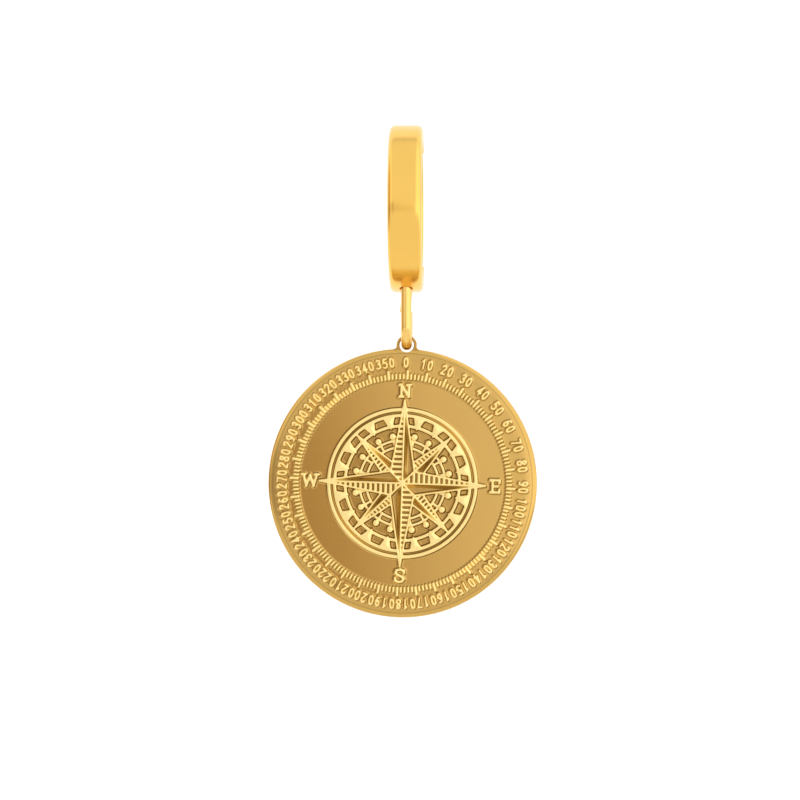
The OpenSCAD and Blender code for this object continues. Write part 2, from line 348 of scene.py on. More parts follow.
def straight_cutter(turn, side):
    """The room that one leg of the link needs under its bend, when the link has swung by an angle."""
    angle = math.radians(turn)
    start = np.array([0, side * LINK_R, 0])
    path = [start + np.array([0, 0, -BAND_T * t]) for t in np.linspace(0, 1, 4)]
    spin = np.array([[1, 0, 0],
                     [0, math.cos(angle), -math.sin(angle)],
                     [0, math.sin(angle), math.cos(angle)]])
    path = [spin @ p + np.array([0, 0, BEND_Z]) for p in path]
    return sweep_wire(path, WIRE_R + LINK_CLEAR, sides=TUNNEL_SIDES, rounds=1)


def cut(piece, shapes):
    """Cuts shapes out of a piece, with the result applied."""
    for points, faces in shapes:
        mesh = mesh_of("cutter", points, faces)
        face_outwards(mesh)
        cutter = add_object("cutter", mesh)
        step = piece.modifiers.new("cut", "BOOLEAN")
        step.operation = "DIFFERENCE"
        step.object = cutter
        with bpy.context.temp_override(object=piece, active_object=piece):
            bpy.ops.object.modifier_apply(modifier=step.name)
        bpy.data.objects.remove(cutter)
    shade(piece.data, sharp=35)


# The dial's relief, drawn as heights on a fine square raster

RASTER = 1700
CELL = 2 * DISC_R / RASTER
SOFT = 0.014
MARGIN = 0.1
# The finished heights are a mix of a fine and a broad blur.
FINE_BLUR = 0.012
FINE_SHARE = 0.65
BROAD_BLUR = 0.05
BROAD_SHARE = 0.35

axis = (np.arange(RASTER) + 0.5) * CELL - DISC_R
heights = np.zeros((RASTER, RASTER), np.float32)


def window(points, margin):
    """The raster's part around some points, with its coordinates. Rows run along v, columns along u."""
    low = np.floor((np.min(points, 0) - margin + DISC_R) / CELL).astype(int)
    high = np.ceil((np.max(points, 0) + margin + DISC_R) / CELL).astype(int)
    low, high = np.clip(low, 0, RASTER), np.clip(high, 0, RASTER)
    part = (slice(low[1], high[1]), slice(low[0], high[0]))
    return part, axis[part[1]][None, :], axis[part[0]][:, None]


def soft_edge(inside):
    """0 outside, 1 inside, with a short slope at the edge."""
    return np.clip(inside / (2 * SOFT) + 0.5, 0, 1)


def raise_to(part, inside, height):
    """Lifts the raster to a height inside a shape, and leaves what is already higher."""
    heights[part] += np.maximum(height - heights[part], 0) * soft_edge(inside)


def turned(point, bearing):
    """Turns a point of the drawing clockwise by a bearing in degrees."""
    a = math.radians(bearing)
    u, v = point
    return (u * math.cos(a) + v * math.sin(a), v * math.cos(a) - u * math.sin(a))


def stroke(points, width, height, round_top=0.3):
    """A line of one width with round ends and a rounded top."""
    for p, q in zip(points[:-1], points[1:]):
        part, u, v = window([p, q], width)
        du, dv = q[0] - p[0], q[1] - p[1]
        along = np.clip(((u - p[0]) * du + (v - p[1]) * dv) / (du * du + dv * dv), 0, 1)
        away = np.hypot(u - p[0] - along * du, v - p[1] - along * dv)
        dome = 1 - round_top * np.clip(away / (width / 2), 0, 1) ** 2
        raise_to(part, width / 2 - away, height * dome)


def polygon_inside(points, u, v):
    """How far inside a convex clockwise polygon each place is."""
    inside = np.full(np.broadcast(u, v).shape, np.inf)
    for i, p in enumerate(points):
        q = points[(i + 1) % len(points)]
        du, dv = q[0] - p[0], q[1] - p[1]
        inside = np.minimum(inside, ((u - p[0]) * -dv + (v - p[1]) * du) * -1 / math.hypot(du, dv))
    return inside


def ring_inside(outer, inner):
    """How far inside a ring each place of the whole raster is."""
    r = np.hypot(axis[None, :], axis[:, None])
    return np.minimum(outer - r, r - inner)


# A digit's strokes are shares of its width and height, a letter's are shares of its height.
DIGITS = [
    [[(0.5, 1), (0.12, 0.88), (0, 0.5), (0.12, 0.12), (0.5, 0), (0.88, 0.12), (1, 0.5), (0.88, 0.88),
      (0.5, 1)]],
    [[(0.15, 0.8), (0.55, 1), (0.55, 0)]],
    [[(0, 0.78), (0.2, 0.96), (0.55, 1), (0.9, 0.88), (0.95, 0.66), (0, 0), (1, 0)]],
    [[(0.02, 0.86), (0.4, 1), (0.85, 0.9), (0.88, 0.66), (0.4, 0.54)],
     [(0.4, 0.54), (0.95, 0.4), (0.95, 0.12), (0.5, 0), (0, 0.12)]],
    [[(0.7, 0), (0.7, 1), (0, 0.3), (1, 0.3)]],
    [[(0.95, 1), (0.12, 1), (0.05, 0.56), (0.6, 0.62), (0.97, 0.4), (0.9, 0.12), (0.5, 0), (0, 0.1)]],
    [[(0.85, 0.95), (0.4, 0.95), (0.05, 0.55), (0.05, 0.2), (0.45, 0), (0.9, 0.12), (0.95, 0.4), (0.55, 0.58),
      (0.08, 0.42)]],
    [[(0, 1), (1, 1), (0.35, 0)]],
    [[(0.5, 0.54), (0.08, 0.7), (0.12, 0.92), (0.5, 1), (0.88, 0.92), (0.92, 0.7), (0.5, 0.54), (0, 0.34),
      (0.06, 0.08), (0.5, 0), (0.94, 0.08), (1, 0.34), (0.5, 0.54)]],
    [[(0.15, 0.05), (0.6, 0.05), (0.95, 0.45), (0.95, 0.8), (0.55, 1), (0.1, 0.88), (0.05, 0.6), (0.45, 0.42),
      (0.92, 0.58)]],
]
LETTERS = [
    [[(-0.28, -0.45), (-0.28, 0.45)], [(-0.28, 0.45), (0.28, -0.45)], [(0.28, -0.45), (0.28, 0.45)],
     [(-0.42, 0.45), (-0.28, 0.45)], [(-0.42, -0.45), (-0.14, -0.45)], [(0.14, 0.45), (0.42, 0.45)]],
    [[(0.34, -0.25), (0.34, -0.45), (-0.34, -0.45)], [(-0.34, 0.45), (0.34, 0.45), (0.34, 0.25)],
     [(-0.18, -0.45), (-0.18, 0.45)], [(-0.18, 0), (0.2, 0)]],
    [[(0.32, 0.2), (0.32, 0.38), (0.05, 0.47), (-0.24, 0.4), (-0.3, 0.2), (-0.1, 0.05), (0.2, -0.08),
      (0.32, -0.25), (0.2, -0.42), (-0.05, -0.47), (-0.32, -0.36), (-0.32, -0.18)]],
    [[(-0.5, 0.45), (-0.27, -0.42)], [(-0.27, -0.42), (0, 0.4)], [(0, 0.4), (0.27, -0.42)],
     [(0.27, -0.42), (0.5, 0.45)], [(-0.64, 0.45), (-0.36, 0.45)], [(0.36, 0.45), (0.64, 0.45)]],
]


def draw_numbers():
    """The degrees round the dial, in tens, read from its centre outwards."""
    for degrees in range(0, 360, 10):
        name = str(degrees)
        for i, figure in enumerate(name):
            middle = (i - (len(name) - 1) / 2) * DIGIT_PITCH
            for line in DIGITS[int(figure)]:
                places = [(middle + (p[0] - 0.5) * (DIGIT_W - DIGIT_STROKE),
                           NUMBER_IN + DIGIT_STROKE / 2 + p[1] * (DIGIT_H - DIGIT_STROKE)) for p in line]
                stroke([turned(p, degrees) for p in places], DIGIT_STROKE, RELIEF)


def draw_ticks():
    """The degree ticks, with a longer and wider one at each ten."""
    for bearing in range(0, 360, TICK_STEP):
        is_long = bearing % 10 == 0
        width = TICK_LONG_W if is_long else TICK_W
        far = TICK_IN + (TICK_LONG if is_long else TICK_LEN) - width / 2
        ends = [turned((0, TICK_IN + width / 2), bearing + TICK_TURN), turned((0, far), bearing + TICK_TURN)]
        stroke(ends, width, RELIEF)


def draw_letters():
    """N, E, S and W, all upright."""
    for k, letter in enumerate(LETTERS):
        centre = turned((0, LETTER_AT), 90 * k)
        for line in letter:
            stroke([(centre[0] + p[0] * LETTER_H, centre[1] + p[1] * LETTER_H) for p in line],
                   LETTER_STROKE, RELIEF)


def draw_points(tip, half, base, first, pitch):
    """Four points of the rose: a hatched left half and a plain hollow right half."""
    for k in range(4):
        bearing = first + 90 * k
        left = [turned(p, bearing) for p in [(0, tip), (0, 0), (-half, base)]]
        right = [turned(p, bearing) for p in [(0, tip), (half, base), (0, 0)]]
        for side, points in (("left", left), ("right", right)):
            part, u, v = window(points, MARGIN)
            a = math.radians(bearing)
            across = np.abs(u * math.cos(a) - v * math.sin(a))
            along = u * math.sin(a) + v * math.cos(a)
            clear = soft_edge(polygon_inside(points, u, v))
            if side == "right":
                floor = np.maximum(RELIEF * FACET_TOP - FACET_SLOPE * across, -POCKET)
            else:
                wave = 0.5 + 0.5 * np.cos(2 * math.pi * (along - HATCH_START) / pitch)
                line = soft_edge((wave - HATCH_CUT) * HATCH_SLOPE)
                floor = HATCH_FLOOR + (RELIEF * HATCH_TOP - HATCH_FLOOR) * line
            heights[part] = heights[part] * (1 - clear) + floor * clear


def outline_points(tip, half, base, first):
    """The raised outlines and middle ridges of four points of the rose."""
    for k in range(4):
        bearing = first + 90 * k
        tip_at = (0, tip - OUTLINE_SHORT)
        left = (-half + OUTLINE_INSET, base)
        right = (half - OUTLINE_INSET, base)
        for line in ([left, tip_at], [right, tip_at], [(0, 0), tip_at], [(0, 0), right]):
            stroke([turned(p, bearing) for p in line], OUTLINE_W, RELIEF * OUTLINE_TOP)


def at_posts(points):
    """The same drawing at each post of the windows, two in each sector."""
    for k in range(8):
        for side in (-1, 1):
            yield [turned(p, 22.5 + 45 * k + side * POST_ANGLE) for p in points]


def draw_rose():
    """The sunk ground, the arcs, posts and windows on it, the plain ring and the star."""
    r = np.hypot(axis[None, :], axis[:, None])
    sunk = soft_edge(WINDOW_OUT - WINDOW_RIM / 2 - r)
    heights[:] = heights * (1 - sunk) - POCKET * sunk
    whole = (slice(None), slice(None))
    for points in at_posts([(0, HEAD_AT), (0, ARC_IN)]):
        stroke(points, ARC_W, LOW_RELIEF)
    for middle in (ARC_OUT, ARC_IN):
        raise_to(whole, ring_inside(middle + ARC_W / 2, middle - ARC_W / 2), LOW_RELIEF)
    raise_to(whole, ring_inside(WINDOW_OUT, WINDOW_OUT - WINDOW_RIM), RELIEF)
    raise_to(whole, ring_inside(WINDOW_IN + WINDOW_RIM, WINDOW_IN), RELIEF)
    post = [(-POST_HALF, WINDOW_OUT - WINDOW_RIM / 2), (POST_HALF, WINDOW_OUT - WINDOW_RIM / 2),
            (POST_HALF / 2, WINDOW_IN + WINDOW_RIM), (0, WINDOW_IN - POST_TIP),
            (-POST_HALF / 2, WINDOW_IN + WINDOW_RIM)]
    for points in at_posts(post):
        part, u, v = window(points, MARGIN)
        inside = polygon_inside(points, u, v)
        raise_to(part, inside, RELIEF + POST_RIDGE * np.clip(inside / POST_HALF, 0, 1))
    for (head,) in at_posts([(0, HEAD_AT)]):
        part, u, v = window([head], HEAD_R + MARGIN)
        away = np.hypot(u - head[0], v - head[1])
        dome = HEAD_TOP + HEAD_DOME * np.sqrt(np.clip(1 - (away / HEAD_R) ** 2, 0, 1))
        raise_to(part, HEAD_R - away, RELIEF * dome)
    raise_to(whole, ring_inside(RING_OUT, RING_IN), RELIEF * RING_TOP)
    valley = MAIN_VALLEY / math.sqrt(2)
    draw_points(SIDE_TIP, SIDE_HALF, MAIN_VALLEY, 45, SIDE_PITCH)
    outline_points(SIDE_TIP, SIDE_HALF, MAIN_VALLEY, 45)
    draw_points(MAIN_TIP, valley, valley, 0, MAIN_PITCH)
    outline_points(MAIN_TIP, valley, valley, 0)


def soften(field, reach):
    """Blurs a field by a small Gaussian, along each axis in turn."""
    size = int(3 * reach / CELL)
    weights = np.exp(-0.5 * (np.arange(-size, size + 1) * CELL / reach) ** 2)
    weights /= weights.sum()
    for direction in (0, 1):
        total = np.zeros_like(field)
        for i, weight in enumerate(weights):
            total += weight * np.roll(field, i - size, direction)
        field = total
    return field


draw_rose()
draw_ticks()
draw_numbers()
draw_letters()
heights = FINE_SHARE * soften(heights, FINE_BLUR) + BROAD_SHARE * soften(heights, BROAD_BLUR)

# The relief's height a little way off, taken in full from the lower right and by half from the upper left.
# It is above a place's own height at the foot of a raised form, most of all at its upper left, where it sets
# a painted shadow.
shift = round(FOOT_REACH / CELL)
lit_side = np.roll(heights, (-shift, shift), (0, 1))
dark_side = np.roll(heights, (shift, -shift), (0, 1))
shadows = np.maximum(dark_side, 0.5 * lit_side + 0.5 * heights)


def sample(field, u, v):
    """A field's value at places on the dial."""
    column = np.clip((u + DISC_R) / CELL - 0.5, 0, RASTER - 1.001)
    row = np.clip((v + DISC_R) / CELL - 0.5, 0, RASTER - 1.001)
    i, j = column.astype(int), row.astype(int)
    s, t = column - i, row - j
    return ((field[j, i] * (1 - s) + field[j, i + 1] * s) * (1 - t)
            + (field[j + 1, i] * (1 - s) + field[j + 1, i + 1] * s) * t)


# The medallion's pieces

def on_medallion(points):
    """From the medallion's own upright frame, with its pivot at the origin, to the part's frame."""
    points = np.asarray(points, float)
    a = math.radians(ROLL)
    return np.stack([points[:, 0] * math.cos(a) + points[:, 2] * math.sin(a), points[:, 1],
                     PIVOT_Z - points[:, 0] * math.sin(a) + points[:, 2] * math.cos(a)], 1)


def stitch(inner, outer):
    """Triangles between two rings of vertices, given as lists of indices from the same start."""
    faces = []
    i = j = 0
    n, m = len(inner), len(outer)
    while i < n or j < m:
        if j * n <= i * m and j < m:
            faces.append((inner[i % n], outer[j % m], outer[(j + 1) % m]))
            j += 1
        else:
            faces.append((inner[i % n], outer[j % m], inner[(i + 1) % n]))
            i += 1
    return faces


def fall(radius):
    """How far the dial's edge falls back."""
    return FALL * (np.clip(radius - FALL_FROM, 0, None) / (DISC_R - FALL_FROM)) ** 2


def ring_count(radius, step):
    """How many points a ring needs to keep them about a step apart."""
    return max(6, round(2 * math.pi * radius / step))


def dial_zone(name, inner, outer, material, step=STEP):
    """One zone of the dial: its relief on top, with a flat seat under it."""
    radii = np.linspace(inner, outer, round((outer - inner) / step) + 1)
    rings, parts, faces, count = [], [], [], 0
    for radius in radii:
        number = 1 if radius == 0 else ring_count(radius, step)
        parts.append(circle_points(radius, number))
        rings.append(list(range(count, count + number)))
        count += number
    for low, high in zip(rings[:-1], rings[1:]):
        faces += stitch(low, high)
    flat = np.concatenate(parts)
    front = -DISC_T / 2
    relief = sample(heights, flat[:, 0], flat[:, 1])
    level = front + fall(np.hypot(flat[:, 0], flat[:, 1]))
    points = [np.stack([flat[:, 0], level - relief, flat[:, 1] + DISC_Z], 1)]
    edges = []
    for ring in (rings[0], rings[-1]):
        under = flat[ring]
        points.append(np.stack([under[:, 0], np.full(len(ring), front + SEAT), under[:, 1] + DISC_Z], 1))
        edges.append(list(range(count, count + len(ring))))
        count += len(ring)
        if len(ring) > 1:
            faces += stitch(ring, edges[-1])
    faces += stitch(edges[0], edges[1])
    piece = new_mesh(name, on_medallion(np.concatenate(points)), faces, "medallion", "medallion_gold",
                     material, sharp=85)
    finish_mask(piece, relief, flat)
    return piece


def store(piece, name, values):
    """Stores values at a piece's first vertices, and 0 at the rest."""
    full = np.zeros(len(piece.data.vertices), np.float32)
    full[:len(values)] = values
    layer = piece.data.attributes.new(name, "FLOAT", "POINT")
    layer.data.foreach_set("value", full)


def finish_mask(piece, relief, flat):
    """Stores where the relief is raised, for its satin finish and a painted highlight, and where painted
    shade falls at its feet, on the sunk ground and at the edge.
    """
    raised = np.clip((relief - RAISED_FROM) / RAISED_OVER, 0, 1)
    radius = np.hypot(flat[:, 0], flat[:, 1])
    # Painted shadow at the foot of raised forms, strongest at their upper left.
    foot = np.clip((sample(shadows, flat[:, 0], flat[:, 1]) - relief) / FOOT_RISE - FOOT_FROM, 0, 1)
    foot *= np.interp(radius, FOOT_RADII, FOOT_SHARES)
    foot *= 1 - FOOT_ON_RAISED * raised
    # Painted shade on the sunk ground.
    sunk = SUNK_SHADE * np.clip(-relief / POCKET, 0, 1)
    # A painted shade line just inside the dial's edge.
    edge = EDGE_SHADE * np.clip(1 - np.abs(radius - EDGE_LINE) / EDGE_REACH, 0, 1)
    # The raised mask sets the satin roughness and the painted highlight colour of the relief.
    store(piece, "satin_and_highlight", raised)
    store(piece, "painted_shade", np.maximum(np.maximum(foot, sunk), edge))


def disc_body(material):
    """The disc's rim and back, turned round its axis, with a recess that the dial's zones fill."""
    half, flat = DISC_T / 2, DISC_T / 2 - RIM_ROUND
    profile = [(0, SEAT - half), (DIAL_R, SEAT - half), (DIAL_R, fall(DIAL_R) - half)]
    for i in range(RIM_STEPS + 1):
        a = math.radians(-90 + 90 * i / RIM_STEPS)
        radius = DISC_R - RIM_ROUND + RIM_ROUND * math.cos(a)
        profile.append((radius, fall(radius) * (1 - i / RIM_STEPS) - flat + RIM_ROUND * math.sin(a)))
    for i in range(RIM_STEPS + 1):
        a = math.radians(90 * i / RIM_STEPS)
        profile.append((DISC_R - RIM_ROUND + RIM_ROUND * math.cos(a), flat + RIM_ROUND * math.sin(a)))
    profile += [(DISC_R * share, half) for share in BACK_RINGS]
    points, rings, faces = [], [], []
    for radius, y in profile:
        number = 1 if radius == 0 else DISC_SIDES
        rings.append(list(range(len(points), len(points) + number)))
        for u, v in circle_points(radius, number):
            points.append((u, y, v + DISC_Z))
    for low, high in zip(rings[:-1], rings[1:]):
        faces += stitch(high, low) if len(high) == 1 else stitch(low, high)
    piece = new_mesh("disc_body", on_medallion(points), faces, "medallion", "medallion_gold", material)
    cut(piece, [ear_hole()])
    return piece


def ear_hole(sides=64):
    """The hole for the link, right through the ear and the disc's edge."""
    circle = circle_points(WIRE_R + EAR_CLEAR, sides)
    points = [(u, side * DISC_T, v) for side in (-1, 1) for u, v in circle]
    faces = [(i, (i + 1) % sides, (i + 1) % sides + sides, i + sides) for i in range(sides)]
    faces += [tuple(range(sides)), tuple(range(sides, 2 * sides))]
    return on_medallion(points), faces


def ear(material):
    """The ear with its hole and the two concave fillets at its root."""
    reach = EAR_R + EAR_FILLET
    fillet_v = ((DISC_R + EAR_FILLET) ** 2 - reach ** 2 - DISC_Z ** 2) / (-2 * DISC_Z)
    fillet_u = math.sqrt(reach ** 2 - fillet_v ** 2)
    to_ear = math.atan2(-fillet_v, -fillet_u)
    to_rim = math.atan2(DISC_Z - fillet_v, -fillet_u)
    if to_rim > to_ear:
        to_rim -= 2 * math.pi
    right = [(fillet_u + EAR_FILLET * math.cos(a), fillet_v + EAR_FILLET * math.sin(a))
             for a in np.linspace(to_rim % (2 * math.pi), to_ear % (2 * math.pi), FILLET_STEPS)]
    start = math.atan2(fillet_v, fillet_u)
    top = [(EAR_R * math.cos(a), EAR_R * math.sin(a))
           for a in np.linspace(start, math.pi - start, EAR_SIDES)[1:-1]]
    outline = right + top + [(-u, v) for u, v in right[::-1]]
    foot = right[0]
    under = (foot[0] * EAR_FOOT_W, foot[1] - EAR_FOOT)
    outline = [under] + outline + [(-under[0], under[1])]
    curve = bpy.data.curves.new("ear", "CURVE")
    curve.dimensions = "2D"
    curve.fill_mode = "BOTH"
    curve.extrude = (EAR_T / 2 - EAR_BEVEL) * MM
    curve.bevel_depth = EAR_BEVEL * MM
    curve.bevel_resolution = 3
    curve.offset = -EAR_BEVEL * MM
    hole = circle_points(WIRE_R + EAR_CLEAR, EAR_SIDES)
    for loop in (outline, hole):
        spline = curve.splines.new("POLY")
        spline.points.add(len(loop) - 1)
        for point, (u, v) in zip(spline.points, loop):
            point.co = (u * MM, v * MM, 0, 1)
        spline.use_cyclic_u = True
    drawn = add_object("ear", curve)
    bpy.context.view_layer.update()
    mesh = bpy.data.meshes.new_from_object(drawn.evaluated_get(bpy.context.evaluated_depsgraph_get()))
    flat = np.array([v.co for v in mesh.vertices]) / MM
    faces = [tuple(f.vertices) for f in mesh.polygons]
    bpy.data.objects.remove(drawn)
    upright = np.stack([flat[:, 0], -flat[:, 2], flat[:, 1]], 1)
    return new_mesh("ear", on_medallion(upright), faces, "medallion", "medallion_gold", material)


# Materials

GOLD = (0.93, 0.585, 0.14)
# Painted light: a paler copy of the gold for the link.
LIT_LINK_GOLD = (0.93, 0.63, 0.2)
# Painted shade: a darker copy of the gold for the dial's field.
SHADED_FIELD_GOLD = (0.62, 0.39, 0.115)
# Painted highlight: the paler colour given to the dial's raised relief.
PAINTED_HIGHLIGHT = (1.0, 0.79, 0.34)
# Painted shade: a darker copy of the gold for the disc's rim and back.
SHADED_RIM_GOLD = (0.67, 0.425, 0.12)
# Painted shade: a still darker copy of the gold for the ear.
SHADED_EAR_GOLD = (0.5, 0.305, 0.085)
# Painted shade colour for the feet of the relief, the sunk ground and the line at the edge.
PAINTED_SHADE_COLOUR = (0.1, 0.046, 0.007)
TONE_SCALE = 260
DARK_TONE = 0.96
LIGHT_TONE = 1.03
SCRATCH_SCALE = (900, 900, 9000)
SCRATCH_TURN = (0.3, 0.7, 0.2)
DENT_SCALE = 1400
DENT_DEPTH = 0.05 * MM


def node(tree, kind, **settings):
    """A new node with its settings."""
    made = tree.nodes.new(kind)
    for name, value in settings.items():
        setattr(made, name, value)
    return made


def noise(tree, vector, scale, detail):
    """A noise pattern over a vector."""
    made = node(tree, "ShaderNodeTexNoise")
    made.inputs["Scale"].default_value = scale
    made.inputs["Detail"].default_value = detail
    tree.links.new(vector, made.inputs["Vector"])
    return made.outputs["Fac"]


def gold(name, colour, roughness, satin_and_highlight=None, pale=None, grain=0.02, scratch=0.15):
    """Polished gold with faint scratches, small dents and a slow change of tone. With a satin roughness
    given, raised parts also get the pale colour as a painted highlight, and a stored painted shade darkens
    their feet, the sunk ground and the dial's edge.
    """
    material = bpy.data.materials.new(name)
    material.use_nodes = True
    tree = material.node_tree
    link = tree.links.new
    shader = tree.nodes["Principled BSDF"]
    shader.inputs["Metallic"].default_value = 1.0
    place = node(tree, "ShaderNodeTexCoord")
    tone = node(tree, "ShaderNodeMix", data_type="RGBA")
    tone.inputs["A"].default_value = (*[c * DARK_TONE for c in colour], 1)
    tone.inputs["B"].default_value = (*[min(1, c * LIGHT_TONE) for c in colour], 1)
    link(noise(tree, place.outputs["Object"], TONE_SCALE, 3), tone.inputs["Factor"])
    if satin_and_highlight is None:
        link(tone.outputs["Result"], shader.inputs["Base Color"])
    else:
        # Painted shade: the colour darkens towards the painted shade colour.
        painted_shade = node(tree, "ShaderNodeAttribute", attribute_name="painted_shade")
        darker = node(tree, "ShaderNodeMix", data_type="RGBA")
        darker.inputs["B"].default_value = (*PAINTED_SHADE_COLOUR, 1)
        link(painted_shade.outputs["Fac"], darker.inputs["Factor"])
        # Raised relief: satin roughness and the painted highlight colour.
        raised = node(tree, "ShaderNodeAttribute", attribute_name="satin_and_highlight")
        lighter = node(tree, "ShaderNodeMix", data_type="RGBA")
        lighter.inputs["B"].default_value = (*pale, 1)
        link(raised.outputs["Fac"], lighter.inputs["Factor"])
        link(tone.outputs["Result"], lighter.inputs["A"])
        link(lighter.outputs["Result"], darker.inputs["A"])
        link(darker.outputs["Result"], shader.inputs["Base Color"])
    stretch = node(tree, "ShaderNodeMapping")
    stretch.inputs["Scale"].default_value = SCRATCH_SCALE
    stretch.inputs["Rotation"].default_value = SCRATCH_TURN
    link(place.outputs["Object"], stretch.inputs["Vector"])
    polish = node(tree, "ShaderNodeMapRange")
    polish.inputs["To Min"].default_value = roughness * (1 - scratch)
    polish.inputs["To Max"].default_value = roughness * (1 + scratch)
    link(noise(tree, stretch.outputs["Vector"], 1, 5), polish.inputs["Value"])
    if satin_and_highlight is None:
        link(polish.outputs["Result"], shader.inputs["Roughness"])
    else:
        blend = node(tree, "ShaderNodeMix", data_type="FLOAT")
        blend.inputs["B"].default_value = satin_and_highlight
        link(raised.outputs["Fac"], blend.inputs["Factor"])
        link(polish.outputs["Result"], blend.inputs["A"])
        link(blend.outputs["Result"], shader.inputs["Roughness"])
    bump = node(tree, "ShaderNodeBump")
    bump.inputs["Strength"].default_value = grain
    bump.inputs["Distance"].default_value = DENT_DEPTH
    link(noise(tree, place.outputs["Object"], DENT_SCALE, 4), bump.inputs["Height"])
    link(bump.outputs["Normal"], shader.inputs["Normal"])
    return material


# Studio

FLOOR_Z = -400
STUDIO = 1500
WALL_Y = 500
WALL_BEND = 250
WALL_RISE = 0.5
FLOOR_TONE = (0.87, 0.86, 0.84)
FLOOR_GLOW = 0.02
WALL_TONE = (1, 1, 1)
WALL_GLOW = 0.06

# Strengths of the light on the left, the right, above and below, in the gap before the back, and behind
LEFT_LIGHT = 0.58
RIGHT_LIGHT = 1.16
EVEN_LIGHT = 1.0
GAP_LIGHT = 0.6
BACK_LIGHT = 1.0
# What is added far to the right and far to the left, and what a patch at the left is dimmed to
MORE_RIGHT = 0.36
MORE_LEFT = 0.25
OPEN_LIGHT = 0.62
OPEN_WAY = (-1, -0.12, 0.15)
OPEN_ANGLES = (12, 42)
# What the camera itself sees of these surroundings: one plain tone
SEEN_LIGHT = 0.95
# Where each band starts and ends, along x, y or z of the direction. The right side's edge is tilted.
BEHIND = (0.3, 0.42)
GAP = (0.15, 0.3)
RIGHT_SIDE = (-0.1, -0.014)
RIGHT_TILT = 0.3
ABOVE = (0.025, 0.07)
BELOW = (-0.11, -0.16)
FAR_RIGHT = (0.07, 0.3)
FAR_LEFT = (-0.3, -0.6)
UNTINTED_LEFT = (-0.2, -0.4)
WARM_TINT = (1, 0.76, 0.53, 1)
PLAIN_TINT = (1, 0.985, 0.96, 1)

AZIMUTH = 2
DISTANCE = 140
FRAME_WIDTH = 59.66
SENSOR_WIDTH = 36
AIM_X = -0.507
AIM_Z = -19.17


def matt(name, colour, glow):
    """A dull material that glows a little."""
    material = bpy.data.materials.new(name)
    material.use_nodes = True
    shader = material.node_tree.nodes["Principled BSDF"]
    shader.inputs["Base Color"].default_value = (*colour, 1)
    shader.inputs["Roughness"].default_value = 0.9
    shader.inputs["Emission Color"].default_value = (*colour, 1)
    shader.inputs["Emission Strength"].default_value = glow
    return material


def staged(name, points, faces, material):
    """A piece of the studio, which isn't part of the object."""
    mesh = mesh_of(name, points, faces)
    mesh.materials.append(material)
    mesh.shade_smooth()
    thing = add_object(name, mesh)


def floor():
    """A pale floor far below, and a white wall behind that curves up from it."""
    s = STUDIO
    staged("floor", [(-s, -s, FLOOR_Z), (s, -s, FLOOR_Z), (s, s, FLOOR_Z), (-s, s, FLOOR_Z)], [(0, 1, 2, 3)],
           matt("pale_floor", FLOOR_TONE, FLOOR_GLOW))
    bend = [(WALL_Y - WALL_BEND * (1 - math.sin(a)), FLOOR_Z + WALL_RISE + WALL_BEND * (1 - math.cos(a)))
            for a in np.linspace(0, math.pi / 2, 25)] + [(WALL_Y, s)]
    points = [(side * s, y, z) for y, z in bend for side in (-1, 1)]
    faces = [(2 * i, 2 * i + 1, 2 * i + 3, 2 * i + 2) for i in range(len(bend) - 1)]
    staged("backdrop", points, faces, matt("white_backdrop", WALL_TONE, WALL_GLOW))


